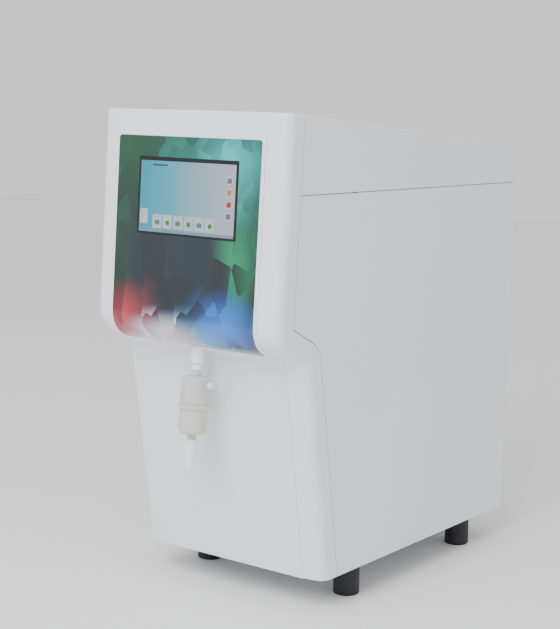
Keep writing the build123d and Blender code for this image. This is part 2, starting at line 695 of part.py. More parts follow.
def upper_deck():
    """Sheet shelf that steadies the cartridges, from the bulkhead to a rear flange."""
    back = BAY_Y + POLISHING_AT[1] + CARTRIDGE_RADIUS + 12
    deck = block((-FRAME_HALF, BAY_Y, DECK), (FRAME_HALF - 90, back, DECK + SHEET))
    hang = block((-FRAME_HALF, back - SHEET, DECK - DECK_FLANGE), (FRAME_HALF - 90, back, DECK))
    edge = block((-FRAME_HALF, BAY_Y, DECK - DECK_FLANGE),
                 (FRAME_HALF - 90, BAY_Y + SHEET, DECK))
    deck = deck + hang + edge
    for x, y, radius in spots().values():
        deck = deck - upright(radius + HOLE_CLEARANCE, x, y, DECK - 1, DECK + 2 * SHEET)
    return deck


# Treatment train
def cartridge(place):
    """Plain canister with a grip ring of ribs under its head."""
    x, y, radius = place
    top = SEAT + CARTRIDGE_HEIGHT
    body = turned([(0, SEAT), (radius - 4, SEAT), (radius, SEAT + 4), (radius, top - 6),
                   (radius - 6, top), (0, top)])
    body = Pos(x, y) * body
    return body


def cartridge_heads():
    return Compound(children=[cartridge_head(spots()[name])
                              for name in ("pretreatment", "polishing")])


def cartridge_head(place):
    """Screwed head with two tube stubs and grip ribs round its edge."""
    x, y, radius = place
    low = SEAT + CARTRIDGE_HEIGHT
    rim = radius - 8
    head = turned([(0, low), (rim, low), (rim, low + HEAD_THICK - 6),
                   (rim - 10, low + HEAD_THICK), (0, low + HEAD_THICK)])
    rib = Pos(rim, 0, low + HEAD_THICK / 2 - 3) * Box(2 * RIB_DEPTH, 3, HEAD_THICK - 10)
    for i in range(RIB_COUNT // 2):
        head = head + Rot(0, 0, i * 720 / RIB_COUNT) * rib
    for side in (-1, 1):
        head = head + upright(TUBE_RADIUS, side * PORT_SPREAD, 0, low,
                              low + HEAD_THICK + STUB_HEIGHT)
    return Pos(x, y) * head


def stub_top():
    return SEAT + CARTRIDGE_HEIGHT + HEAD_THICK + STUB_HEIGHT


def ro_housing():
    x, y, radius = spots()["ro"]
    top = SEAT + RO_HEIGHT
    shell = turned([(0, SEAT), (radius, SEAT), (radius, top), (radius - RO_WALL, top),
                    (radius - RO_WALL, SEAT + RO_WALL), (0, SEAT + RO_WALL)])
    return Pos(x, y) * shell


def ro_membrane():
    x, y, radius = spots()["ro"]
    low = SEAT + RO_WALL
    top = SEAT + RO_HEIGHT - HEAD_OVERLAP - 8
    inner = radius - RO_WALL - FIT
    roll = turned([(4, low), (inner, low), (inner, top), (4, top)])
    return Pos(x, y) * roll


def ro_cap():
    """Cap with a plug inside the housing and three stubs: feed, permeate, concentrate."""
    x, y, radius = spots()["ro"]
    top = SEAT + RO_HEIGHT
    cap = turned([(0, top - HEAD_OVERLAP), (radius - RO_WALL - THREAD, top - HEAD_OVERLAP),
                  (radius - RO_WALL - THREAD, top), (radius + 3, top),
                  (radius + 3, top + 14), (radius - 4, top + HEAD_THICK), (0, top + HEAD_THICK)])
    for i in range(3):
        stub = upright(TUBE_RADIUS, RO_RADIUS / 2, 0, top, top + HEAD_THICK + STUB_HEIGHT)
        cap = cap + Rot(0, 0, 90 + i * 120) * stub
    return Pos(x, y) * cap


def uv_reactor():
    x, y, radius = spots()["uv"]
    top = SEAT + UV_HEIGHT
    shell = turned([(0, SEAT), (radius, SEAT), (radius, top), (radius - UV_WALL, top),
                    (radius - UV_WALL, SEAT + UV_WALL), (0, SEAT + UV_WALL)])
    return Pos(x, y) * shell


def uv_lamp():
    x, y, radius = spots()["uv"]
    return upright(radius / 3, x, y, SEAT + UV_WALL, SEAT + UV_HEIGHT)


def uv_cap():
    x, y, radius = spots()["uv"]
    top = SEAT + UV_HEIGHT
    full = top + UV_CAP_HEIGHT
    cap = turned([(0, top), (radius + 3, top), (radius + 3, full - 10), (radius / 2, full),
                  (0, full)])
    for side in (-1, 1):
        cap = cap + upright(TUBE_RADIUS, side * radius / 1.7, 0, top, full + STUB_HEIGHT)
    return Pos(x, y) * cap


# Pumps
def pump_axis():
    return FLOOR + PUMP_FOOT + MOTOR_RADIUS


def pump_cradle(front, length, radius, axis):
    """Saddle under a motor, open to the motor's own radius."""
    saddle = block((PUMP_X - SADDLE_WIDTH / 2, front, FLOOR),
                   (PUMP_X + SADDLE_WIDTH / 2, front + length, axis - radius / 2))
    return saddle - lengthwise(radius, PUMP_X, axis, front - 1, front + length + 1)


def booster_front():
    return BAY_Y + BOOSTER_FROM


def pump_cradles():
    booster = booster_front() + (MOTOR_LENGTH - SADDLE_LENGTH) / 2
    loop = loop_pump_front() + (LOOP_PUMP_LENGTH - SADDLE_LENGTH) / 2
    return Compound(children=[
        pump_cradle(booster, SADDLE_LENGTH, MOTOR_RADIUS, pump_axis()),
        pump_cradle(loop, SADDLE_LENGTH, LOOP_PUMP_RADIUS, loop_axis())])


def booster_motor():
    front = booster_front()
    body = lengthwise(MOTOR_RADIUS, PUMP_X, pump_axis(), front, front + MOTOR_LENGTH)
    body = fillet(body.edges().filter_by(GeomType.CIRCLE), 2.5)
    return body


def booster_head():
    """Diaphragm pump head with ribbed face and two stubs on top."""
    front = booster_front() + MOTOR_LENGTH
    axis = pump_axis()
    half = PUMP_HEAD_SIZE / 2
    head = block((PUMP_X - half, front, axis - half),
                 (PUMP_X + half, front + PUMP_HEAD_LENGTH, axis + half))
    head = fillet(head.edges().filter_by(Axis.Y), 9)
    for i in range(3):
        groove = block((PUMP_X - half - 1, front + 9 + i * 9, axis - half - 1),
                       (PUMP_X + half + 1, front + 12 + i * 9, axis + half + 1))
        core = block((PUMP_X - half + 2, front, axis - half + 2),
                     (PUMP_X + half - 2, front + BIG, axis + half - 2))
        head = head - (groove - core)
    for side in (-1, 1):
        stub = upright(TUBE_RADIUS, PUMP_X + side * half / 2, front + PUMP_HEAD_LENGTH - 7, axis,
                       axis + half + STUB_HEIGHT)
        head = head + stub
    return head


def loop_pump_front():
    return BAY_Y + LOOP_PUMP_FROM


def loop_axis():
    return FLOOR + PUMP_FOOT + LOOP_PUMP_RADIUS


def loop_motor():
    front = loop_pump_front()
    body = lengthwise(LOOP_PUMP_RADIUS, PUMP_X, loop_axis(), front, front + LOOP_PUMP_LENGTH)
    return fillet(body.edges().filter_by(GeomType.CIRCLE), 2)


def loop_head():
    """Gear pump head ahead of its motor, two stubs on top."""
    front = loop_pump_front() - LOOP_HEAD_LENGTH
    head = lengthwise(LOOP_HEAD_RADIUS, PUMP_X, loop_axis(), front, front + LOOP_HEAD_LENGTH)
    for side in (-1, 1):
        stub = upright(TUBE_RADIUS, PUMP_X + side * LOOP_HEAD_RADIUS / 2,
                       front + LOOP_HEAD_LENGTH / 2, loop_axis(),
                       loop_axis() + LOOP_HEAD_RADIUS + STUB_HEIGHT)
        head = head + stub
    return head


# Tubing: every tube starts and ends on a stub's end face
def bay(x, behind, z):
    """A point given by its distance behind the bulkhead."""
    return (x, BAY_Y + behind, z)


def head_stub(place, side):
    x, y, _ = spots()[place]
    return (x + side * PORT_SPREAD, y, stub_top())


def ro_stub(index):
    x, y, _ = spots()["ro"]
    turn = radians(90 + index * 120)
    reach = RO_RADIUS / 2
    return (x + reach * cos(turn), y + reach * sin(turn),
            SEAT + RO_HEIGHT + HEAD_THICK + STUB_HEIGHT)


def uv_stub(side):
    x, y, radius = spots()["uv"]
    return (x + side * radius / 1.7, y, SEAT + UV_HEIGHT + UV_CAP_HEIGHT + STUB_HEIGHT)


def booster_stub(side):
    return (PUMP_X + side * PUMP_HEAD_SIZE / 4, booster_front() + MOTOR_LENGTH
            + PUMP_HEAD_LENGTH - 7, pump_axis() + PUMP_HEAD_SIZE / 2 + STUB_HEIGHT)


def loop_stub(side):
    return (PUMP_X + side * LOOP_HEAD_RADIUS / 2, loop_pump_front() - LOOP_HEAD_LENGTH / 2,
            loop_axis() + LOOP_HEAD_RADIUS + STUB_HEIGHT)


def port_stub(index):
    return (port_places()[index], REAR_INSIDE - SHANK_INSIDE - PORT_STUB, BOTTOM + PORT_HEIGHT)


def manifold_stub(x):
    return (x, manifold_y(), manifold_stub_top())


def lifted(point, height):
    return (point[0], point[1], BOTTOM + height)


def over(start, end, height, *between):
    """A tube that rises from one upright stub, crosses at a height and drops on another."""
    return tube(start, lifted(start, height), *between, lifted(end, height), end)


def feed_water_tubes():
    """Raw water in, through pretreatment and booster pump to the membrane, and its drain."""
    inlet = port_stub(0)
    intake = manifold_stub(PORT_FIRST_X)
    feed = tube(inlet, (intake[0], intake[1], inlet[2]), intake)
    to_pretreatment = over(manifold_stub(MANIFOLD_OUTLET_X), head_stub("pretreatment", -1),
                           LANE_FEED)
    to_booster = over(head_stub("pretreatment", 1), booster_stub(-1), LANE_BOOSTER)
    to_membrane = over(booster_stub(1), ro_stub(2), LANE_MEMBRANE)
    drain = port_stub(1)
    start = ro_stub(0)
    to_drain = tube(start, lifted(start, LANE_DRAIN),
                    bay(start[0], DRAIN_TURN, BOTTOM + LANE_DRAIN),
                    (drain[0], drain[1] - DROP_SETBACK, BOTTOM + LANE_DRAIN),
                    (drain[0], drain[1] - DROP_SETBACK, drain[2]), drain)
    return Compound(children=[feed, to_pretreatment, to_booster, to_membrane, to_drain])


def pure_water_tubes():
    """Permeate to the outside tank and back, the polishing loop, and the dispensing line."""
    start = ro_stub(1)
    product = port_stub(2)
    to_tank = tube(start, lifted(start, LANE_PRODUCT),
                   bay(start[0], PRODUCT_TURN, BOTTOM + LANE_PRODUCT),
                   (product[0], product[1] - PRODUCT_SETBACK, BOTTOM + LANE_PRODUCT),
                   (product[0], product[1] - PRODUCT_SETBACK, product[2]), product)
    tank = port_stub(3)
    pump = loop_stub(-1)
    from_tank = tube(tank, (tank[0], tank[1] - DROP_SETBACK, tank[2]),
                     (pump[0], pump[1] + DROP_SETBACK, BOTTOM + LANE_RETURN),
                     lifted(pump, LANE_RETURN), pump)
    to_polishing = over(loop_stub(1), head_stub("polishing", 1), LANE_POLISHING)
    to_lamp = over(head_stub("polishing", -1), uv_stub(-1), LANE_LAMP)
    lamp = uv_stub(1)
    valve = valve_stub()
    drop_y = valve[1] + VALVE_APPROACH
    approach_z = valve[2] - VALVE_APPROACH * tan(radians(NOZZLE_LEAN))
    to_valve = tube(lamp, lifted(lamp, LANE_PRODUCT),
                    (lamp[0], drop_y, BOTTOM + LANE_PRODUCT), (0, drop_y, approach_z), valve)
    return Compound(children=[to_tank, from_tank, to_polishing, to_lamp, to_valve])


def valve_stub():
    """End of the dispensing valve's stub, which points back into the case."""
    reach = VALVE_SIZE / 2 + STUB_HEIGHT
    height = NOZZLE_ABOVE + NOZZLE_FLANGE + VALVE_HEIGHT / 2
    lean = radians(NOZZLE_LEAN)
    return (0, NOZZLE_Y + reach * cos(lean) + height * sin(lean),
            BOTTOM + NOZZLE_HEIGHT - reach * sin(lean) + height * cos(lean))


# Valves and sensors
def manifold_y():
    return REAR_Y - MANIFOLD_AT[1]


def manifold():
    width, depth, height = MANIFOLD_SIZE
    x = MANIFOLD_AT[0]
    body = block((x - width / 2, manifold_y() - depth / 2, FLOOR),
                 (x + width / 2, manifold_y() + depth / 2, FLOOR + height))
    body = fillet(body.edges().filter_by(Axis.Z), 3)
    for stub_x in (PORT_FIRST_X, MANIFOLD_OUTLET_X):
        body = body + upright(TUBE_RADIUS, stub_x, manifold_y(), FLOOR, manifold_stub_top())
    return body


def manifold_stub_top():
    return FLOOR + MANIFOLD_SIZE[2] + STUB_HEIGHT


def valve_coils():
    low = FLOOR + MANIFOLD_SIZE[2]
    coils = []
    for side in (-1, 1):
        place = MANIFOLD_OUTLET_X + side * COIL_OFFSET
        stem = upright(COIL_RADIUS / 2, place, manifold_y(), low, low + COIL_HEIGHT + 4)
        coils.append(stem + upright(COIL_RADIUS, place, manifold_y(), low, low + COIL_HEIGHT))
    return Compound(children=coils)


def water_sensors():
    """Alike probes for conductivity and pressure, each with a hexagon shoulder."""
    low = FLOOR + MANIFOLD_SIZE[2]
    probes = []
    for side in (-1, 1):
        y = manifold_y() + side * SENSOR_SPREAD
        shoulder_part = Pos(SENSOR_X, y, low) * extrude(hexagon(SENSOR_RADIUS), SENSOR_SHOULDER)
        stem = upright(SENSOR_RADIUS * 0.7, SENSOR_X, y, low, low + SENSOR_HEIGHT)
        probes.append(shoulder_part + stem)
    return Compound(children=probes)


# Rear fittings
def port_places():
    return [PORT_FIRST_X + i * PORT_PITCH for i in range(PORT_COUNT)]


def along_rear(shape, x, z):
    """Something built about Z, set on the rear panel with Z pointing out."""
    return Pos(x, REAR_Y, z) * Rot(-90, 0, 0) * shape


def port_stems():
    """Bulkhead tube stems: plain stem outside, threaded shank and tube stub inside."""
    stems = []
    for x in port_places():
        stem = turned([(0, -SHEET - SHANK_INSIDE - PORT_STUB),
                       (TUBE_RADIUS, -SHEET - SHANK_INSIDE - PORT_STUB),
                       (TUBE_RADIUS, -SHEET - SHANK_INSIDE), (SHANK_RADIUS, -SHEET - SHANK_INSIDE),
                       (SHANK_RADIUS, STEM_HEX_LENGTH), (STEM_RADIUS, STEM_HEX_LENGTH),
                       (STEM_RADIUS, STEM_REACH), (STEM_RADIUS - 1.5, STEM_REACH),
                       (STEM_RADIUS - 1.5, 0), (0, 0)])
        collar = extrude(hexagon(STEM_HEX) - Circle(SHANK_RADIUS), STEM_HEX_LENGTH)
        stems.append(along_rear(stem + collar, x, BOTTOM + PORT_HEIGHT))
    return Compound(children=stems)


def port_nuts():
    nuts = []
    for x in port_places():
        nut = extrude(hexagon(NUT_HEX) - Circle(SHANK_RADIUS + THREAD), NUT_LENGTH)
        nuts.append(along_rear(Pos(0, 0, -SHEET - NUT_LENGTH) * nut, x, BOTTOM + PORT_HEIGHT))
    return Compound(children=nuts)


def power_inlet():
    """Mains socket with three pins above a slot for the fuse drawer."""
    body = Pos(0, 0, -INLET_DEPTH / 2) * Box(INLET_WIDTH, INLET_HEIGHT, INLET_DEPTH)
    rim = Pos(0, 0, FLANGE_THICK / 2) * Box(
        INLET_WIDTH + 2 * FLANGE_BORDER, INLET_HEIGHT + 2 * FLANGE_BORDER, FLANGE_THICK)
    inlet = body + rim
    socket_y = -INLET_HEIGHT / 2 + SOCKET_HEIGHT / 2 + 4
    cavity = extrude(chamfer(Rectangle(SOCKET_WIDTH, SOCKET_HEIGHT).vertices().sort_by(Axis.Y)[:2],
                             4), SOCKET_DEPTH)
    inlet = inlet - Pos(0, socket_y, FLANGE_THICK - SOCKET_DEPTH) * cavity
    for x, y in ((-7, -2), (7, -2), (0, 3)):
        pin = Pos(x, socket_y + y, FLANGE_THICK - SOCKET_DEPTH + PIN_LENGTH / 2) * Box(
            2, 4, PIN_LENGTH)
        inlet = inlet + pin
    slot_width, slot_height = FUSE_SLOT
    slot = Pos(0, fuse_offset(), FLANGE_THICK - FUSE_DEPTH / 2) * Box(
        slot_width, slot_height, FUSE_DEPTH)
    return along_rear(inlet - slot, POWER_X, BOTTOM + POWER_HEIGHT)


def fuse_offset():
    return INLET_HEIGHT / 2 - FUSE_SLOT[1] / 2 - 5


def fuse_drawer():
    """Sliding carrier with a cradle for the fuse and a finger lip."""
    width = FUSE_SLOT[0] - 2 * FIT
    height = FUSE_SLOT[1] - 2 * FIT
    depth = FUSE_DEPTH - FIT
    carrier = Pos(0, 0, FLANGE_THICK - depth / 2) * Box(width, height, depth)
    cradle = Pos(0, -FIT, FLANGE_THICK - depth / 2 - 1) * Box(
        FUSE_LENGTH + 2 * FIT, 2 * FUSE_RADIUS + 4 * FIT, 2 * FUSE_RADIUS + 2 * FIT)
    lip = Pos(0, 0, FLANGE_THICK + FIT + 1) * Box(FUSE_SLOT[0] + 3, FUSE_SLOT[1] + 3, 2)
    neck = Pos(0, 0, FLANGE_THICK + FIT / 2) * Box(width, height, FIT)
    drawer = carrier - cradle + lip + neck
    return along_rear(Pos(0, fuse_offset()) * drawer, POWER_X, BOTTOM + POWER_HEIGHT)


def fuse():
    depth = FUSE_DEPTH - FIT
    bar = Rot(0, 90, 0) * Cylinder(FUSE_RADIUS, FUSE_LENGTH)
    centre = Pos(0, fuse_offset() - FIT, FLANGE_THICK - depth / 2 - 1)
    return along_rear(centre * bar, POWER_X, BOTTOM + POWER_HEIGHT)


def switch_height():
    return BOTTOM + SWITCH_HEIGHT


def switch_frame():
    body = Pos(0, 0, -SWITCH_DEPTH / 2) * Box(SWITCH_WIDTH, SWITCH_LENGTH, SWITCH_DEPTH)
    rim = Pos(0, 0, FLANGE_THICK / 2) * Box(
        SWITCH_WIDTH + FLANGE_BORDER, SWITCH_LENGTH + FLANGE_BORDER, FLANGE_THICK)
    pivot = FLANGE_THICK - ROCKER_SINK
    well = Pos(0, 0, pivot) * Rot(0, 90, 0) * Cylinder(
        ROCKER_RADIUS + FIT, ROCKER_WIDTH + 2 * FIT)
    pins = Pos(0, 0, pivot) * Rot(0, 90, 0) * Cylinder(
        ROCKER_PIN + THREAD, ROCKER_WIDTH + 4)
    return along_rear(body + rim - well - pins, POWER_X, switch_height())


def power_rocker():
    """Two-winged key on its own pin, at rest in the on position."""
    pivot = FLANGE_THICK - ROCKER_SINK
    drum = Rot(0, 90, 0) * Cylinder(ROCKER_RADIUS, ROCKER_WIDTH)
    wing = Pos(0, 0, ROCKER_CREST + BIG / 2) * Box(BIG, BIG, BIG)
    keep = drum
    for side in (-1, 1):
        keep = keep - Rot(side * ROCKER_TILT, 0, 0) * wing
    pin = Rot(0, 90, 0) * Cylinder(ROCKER_PIN, ROCKER_WIDTH + 3)
    rocker = Rot(ROCKER_TILT, 0, 0) * (keep + pin)
    return along_rear(Pos(0, 0, pivot) * rocker, POWER_X, switch_height())


def power_supply():
    """Closed supply box with slotted sides, screwed flat to the rear panel."""
    width, depth, height = SUPPLY_SIZE
    low = BOTTOM + SUPPLY_HEIGHT
    box = block((SUPPLY_X - width / 2, REAR_INSIDE - depth, low),
                (SUPPLY_X + width / 2 - 4, REAR_INSIDE, low + height))
    terminal = block((SUPPLY_X - width / 2 + 8, REAR_INSIDE - depth + 6, low - 10),
                     (SUPPLY_X + width / 2 - 12, REAR_INSIDE - depth + 24, low))
    return box + terminal


def main_board_points():
    width, _, height = MAIN_BOARD_SIZE
    x, low = MAIN_BOARD_AT
    return [(x + sx * (width / 2 - 6), BOTTOM + low + height / 2 + sz * (height / 2 - 6))
            for sx in (-1, 1) for sz in (-1, 1)]


def main_board_posts():
    return [lengthwise(STANDOFF_RADIUS, x, z, REAR_INSIDE - STANDOFF, REAR_INSIDE)
            for x, z in main_board_points()]


def board_posts():
    """Alike spacers under both circuit boards."""
    return Compound(children=display_board_posts() + main_board_posts())


def main_board():
    width, thick, height = MAIN_BOARD_SIZE
    x, low = MAIN_BOARD_AT
    back = REAR_INSIDE - STANDOFF
    z = BOTTOM + low
    board = block((x - width / 2, back - thick, z), (x + width / 2, back, z + height))
    front = back - thick
    relays = [block((x - 45 + i * 22, front - 12, z + 20), (x - 29 + i * 22, front, z + 44))
              for i in range(4)]
    processor = block((x - 15, front - 2.5, z + 90), (x + 15, front, z + 120))
    for piece in relays + [processor]:
        board = board + piece
    return board


# Dispensing point
def along_nozzle(shape):
    return NOZZLE_AXIS * shape


def dispense_nozzle():
    top = NOZZLE_ABOVE + NOZZLE_FLANGE
    nozzle = turned([(0, top), (NOZZLE_FLANGE_RADIUS, top), (NOZZLE_FLANGE_RADIUS, NOZZLE_ABOVE),
                     (NOZZLE_RADIUS, NOZZLE_ABOVE), (NOZZLE_RADIUS, 2 - NOZZLE_BELOW),
                     (NOZZLE_RADIUS - 2, -NOZZLE_BELOW), (NOZZLE_TIP_RADIUS, -NOZZLE_BELOW),
                     (NOZZLE_TIP_RADIUS, 2 - NOZZLE_BELOW - NOZZLE_TIP_LENGTH),
                     (NOZZLE_TIP_RADIUS - 1.5, -NOZZLE_BELOW - NOZZLE_TIP_LENGTH),
                     (SPIGOT_RADIUS, -NOZZLE_BELOW - NOZZLE_TIP_LENGTH),
                     (SPIGOT_RADIUS, spigot_end()), (BORE_RADIUS, spigot_end()),
                     (BORE_RADIUS, top - 3), (0, top - 3)])
    return along_nozzle(nozzle)


def spigot_end():
    return -NOZZLE_BELOW - NOZZLE_TIP_LENGTH - SPIGOT_LENGTH


def dispense_valve():
    low = NOZZLE_ABOVE + NOZZLE_FLANGE
    body = Pos(0, 0, low + VALVE_HEIGHT / 2) * Box(VALVE_SIZE, VALVE_SIZE, VALVE_HEIGHT)
    body = fillet(body.edges().filter_by(Axis.Z), 3)
    coil_low = low + VALVE_HEIGHT
    coil = upright(VALVE_COIL_RADIUS, 0, 0, coil_low, coil_low + VALVE_COIL_HEIGHT)
    stub = lengthwise(TUBE_RADIUS, 0, low + VALVE_HEIGHT / 2, 0, VALVE_SIZE / 2 + STUB_HEIGHT)
    return along_nozzle(body + coil + stub)


def capsule_top():
    return -NOZZLE_BELOW - NOZZLE_TIP_LENGTH - FIT


def capsule_joint():
    return capsule_top() - CAPSULE_NECK - CAPSULE_TOP_LENGTH


def capsule_bottom():
    return capsule_joint() - CAPSULE_LOW_LENGTH


def vent_height():
    return capsule_top() - CAPSULE_NECK - VENT_DROP


def drain_height():
    return capsule_bottom() + DRAIN_RISE


def shoulder(radius, neck_radius, shoulder_z, neck_z, side):
    """Round shoulder between a wall and a neck, as (radius, z) points on an arc."""
    steps = 5
    depth = abs(neck_z - shoulder_z)
    points = []
    for i in range(steps + 1):
        turn = radians(90 * i / steps)
        reach = neck_radius + (radius - neck_radius) * cos(turn)
        points.append((reach, shoulder_z + side * depth * sin(turn)))
    return points


def side_stub(height, side):
    """Short stub on the capsule's side for a plug."""
    reach = CAPSULE_RADIUS + STUB_REACH
    start = CAPSULE_RADIUS - CAPSULE_WALL / 2
    outer = Rot(0, 90, 0) * Pos(0, 0, (start + reach) / 2) * Cylinder(STUB_RADIUS, reach - start)
    outer = Pos(0, 0, height) * outer
    return outer if side > 0 else mirror(outer, about=Plane.YZ)


def stub_hole(height, side):
    reach = CAPSULE_RADIUS + STUB_REACH + 1
    hole = Pos(side * (PLEAT_OUTER + reach) / 2, 0, height) * Rot(0, 90, 0) * Cylinder(
        STUB_BORE, reach - PLEAT_OUTER)
    return hole


def capsule_upper():
    """Upper half of the capsule's shell with the inlet socket and the vent stub."""
    neck_top = capsule_top()
    start = neck_top - CAPSULE_NECK
    low = capsule_joint()
    outer = shoulder(CAPSULE_RADIUS, CAPSULE_NECK_RADIUS, start - CAPSULE_ROUND, start, 1)
    inner = shoulder(CAPSULE_RADIUS - CAPSULE_WALL, SPIGOT_RADIUS + THREAD + 1,
                     start - CAPSULE_ROUND, start - CAPSULE_WALL, 1)
    socket = SPIGOT_RADIUS + THREAD
    points = [(CAPSULE_FLANGE_RADIUS, low), (CAPSULE_FLANGE_RADIUS, low + CAPSULE_FLANGE),
              (CAPSULE_RADIUS, low + CAPSULE_FLANGE)] + outer
    points += [(CAPSULE_NECK_RADIUS, neck_top), (socket, neck_top),
               (socket, start - CAPSULE_WALL)]
    points += list(reversed(inner)) + [(CAPSULE_RADIUS - CAPSULE_WALL, low)]
    shell = turned(points)
    shell = shell + side_stub(vent_height(), 1) - stub_hole(vent_height(), 1)
    return along_nozzle(shell)


def capsule_lower():
    """Lower half of the shell with the drain stub and the outlet neck."""
    top = capsule_joint()
    low = capsule_bottom()
    outer = shoulder(CAPSULE_RADIUS, CAPSULE_NECK_RADIUS, low + CAPSULE_ROUND, low, -1)
    inner = shoulder(CAPSULE_RADIUS - CAPSULE_WALL, SPIGOT_RADIUS, low + CAPSULE_ROUND,
                     low + CAPSULE_WALL, -1)
    points = [(CAPSULE_RADIUS - CAPSULE_WALL, top), (CAPSULE_FLANGE_RADIUS, top),
              (CAPSULE_FLANGE_RADIUS, top - CAPSULE_FLANGE), (CAPSULE_RADIUS, top - CAPSULE_FLANGE)]
    points += outer + [(CAPSULE_NECK_RADIUS, low - OUTLET_NECK),
                       (BORE_RADIUS, low - OUTLET_NECK), (BORE_RADIUS, low + CAPSULE_WALL)]
    points += list(reversed(inner))
    shell = turned(points)
    shell = shell + side_stub(drain_height(), -1) - stub_hole(drain_height(), -1)
    return along_nozzle(shell)


def membrane_core():
    """Pleated membrane round a perforated core, between two end caps."""
    top = capsule_top() - CAPSULE_NECK - CAPSULE_ROUND - 2
    low = capsule_bottom() + CAPSULE_ROUND + FIT
    points = []
    for i in range(PLEAT_COUNT):
        for radius, turn in ((PLEAT_OUTER, i), (PLEAT_INNER, i + 0.5)):
            angle = radians(360 * turn / PLEAT_COUNT)
            points.append((radius * cos(angle), radius * sin(angle)))
    pleats = extrude(polygon(points) - Circle(CORE_RADIUS), top - low - 4)
    caps = extrude(Circle(PLEAT_OUTER) - Circle(CORE_RADIUS), 2)
    seat = capsule_bottom() + CAPSULE_WALL + FIT
    collar = extrude(Circle(CORE_RADIUS + 2) - Circle(CORE_RADIUS), low - seat)
    core = Pos(0, 0, low + 2) * pleats + Pos(0, 0, low) * caps + Pos(0, 0, top - 2) * caps
    core = core + Pos(0, 0, seat) * collar
    return along_nozzle(core)


def side_plug(height, side):
    """Plug with a knurled grip, its stem inside the stub."""
    face = CAPSULE_RADIUS + STUB_REACH + FIT
    stem = Pos(0, 0, face - PLUG_STEM / 2) * Cylinder(STUB_BORE - THREAD, PLUG_STEM)
    grip = RegularPolygon(PLUG_RADIUS, 8)
    plug = stem + Pos(0, 0, face) * extrude(grip, PLUG_LENGTH)
    plug = Pos(0, 0, height) * Rot(0, 90, 0) * plug
    return along_nozzle(plug if side > 0 else mirror(plug, about=Plane.YZ))


def latch_block(reach, gap):
    """The latch's form from a reach inside the connector's wall, a gap larger all round."""
    middle = capsule_bottom() - OUTLET_NECK - CONNECTOR_LENGTH / 2
    side = 2 * LATCH_SIZE + 2 * gap
    low_x = -CONNECTOR_RADIUS - LATCH_SIZE / 2
    high_x = reach - CONNECTOR_RADIUS
    return Pos((low_x + high_x) / 2, 0, middle) * Box(high_x - low_x, side, side)


def outlet_latch():
    return along_nozzle(latch_block(LATCH_SIZE / 2, 0))


def outlet_connector():
    """Quick connector under the capsule, with a pocket for its latch at one side."""
    top = capsule_bottom() - OUTLET_NECK
    low = top - CONNECTOR_LENGTH
    body = turned([(BORE_RADIUS, top), (CONNECTOR_RADIUS - 1.5, top), (CONNECTOR_RADIUS, top - 1.5),
                   (CONNECTOR_RADIUS, low + 1.5), (CONNECTOR_RADIUS - 1.5, low),
                   (BORE_RADIUS, low)])
    return along_nozzle(body - latch_block(LATCH_SIZE / 2 + LATCH_TRAVEL + FIT, FIT))


def outlet_tip():
    top = capsule_bottom() - OUTLET_NECK - CONNECTOR_LENGTH
    low = top - TIP_LENGTH
    tip = turned([(BORE_RADIUS, top), (TIP_RADIUS - 1, top), (TIP_RADIUS, top - 3),
                  (TIP_RADIUS, low + 4), (TIP_RADIUS - 2, low), (BORE_RADIUS, low)])
    return along_nozzle(tip)


PARTS = {
    "front_moulding": front_moulding,
    "graphic_film": graphic_film,
    "touch_glass": touch_glass,
    "lcd_module": lcd_module,
    "display_bracket": display_bracket,
    "display_board": display_board,
    "side_panel_left": lambda: side_panel(-1),
    "side_panel_right": lambda: side_panel(1),
    "rear_panel": rear_panel,
    "cover_screws": cover_screws,
    "top_lid": top_lid,
    "base_pan": base_pan,
    "foot_screws": foot_screws,
    "foot_nuts": foot_nuts,
    "front_frame": front_frame,
    "cartridge_tray": cartridge_tray,
    "upper_deck": upper_deck,
    "pretreatment_cartridge": lambda: cartridge(spots()["pretreatment"]),
    "polishing_cartridge": lambda: cartridge(spots()["polishing"]),
    "cartridge_heads": cartridge_heads,
    "ro_housing": ro_housing,
    "ro_membrane": ro_membrane,
    "ro_cap": ro_cap,
    "uv_reactor": uv_reactor,
    "uv_lamp": uv_lamp,
    "uv_cap": uv_cap,
    "pump_cradles": pump_cradles,
    "booster_motor": booster_motor,
    "booster_pump_head": booster_head,
    "loop_pump_motor": loop_motor,
    "loop_pump_head": loop_head,
    "valve_manifold": manifold,
    "valve_coils": valve_coils,
    "water_sensors": water_sensors,
    "feed_water_tubes": feed_water_tubes,
    "pure_water_tubes": pure_water_tubes,
    "port_stems": port_stems,
    "port_nuts": port_nuts,
    "power_inlet": power_inlet,
    "fuse_drawer": fuse_drawer,
    "fuse": fuse,
    "switch_frame": switch_frame,
    "power_rocker": power_rocker,
    "power_supply": power_supply,
    "board_posts": board_posts,
    "main_board": main_board,
    "dispense_nozzle": dispense_nozzle,
    "dispense_valve": dispense_valve,
    "capsule_upper": capsule_upper,
    "capsule_lower": capsule_lower,
    "membrane_core": membrane_core,
    "vent_plug": lambda: side_plug(vent_height(), 1),
    "drain_plug": lambda: side_plug(drain_height(), -1),
    "outlet_connector": outlet_connector,
    "outlet_latch": outlet_latch,
    "outlet_tip": outlet_tip,
}

os.makedirs("parts", exist_ok=True)
for name, make in PARTS.items():
    export_step(make(), f"parts/{name}.step")
for name, (foot_x, foot_y) in FOOT_PLACES.items():
    export_step(foot(foot_x, foot_y), f"parts/{name}.step")
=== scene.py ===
import json
from math import cos, radians, sin

import bmesh
import bpy
from mathutils import Matrix, Vector


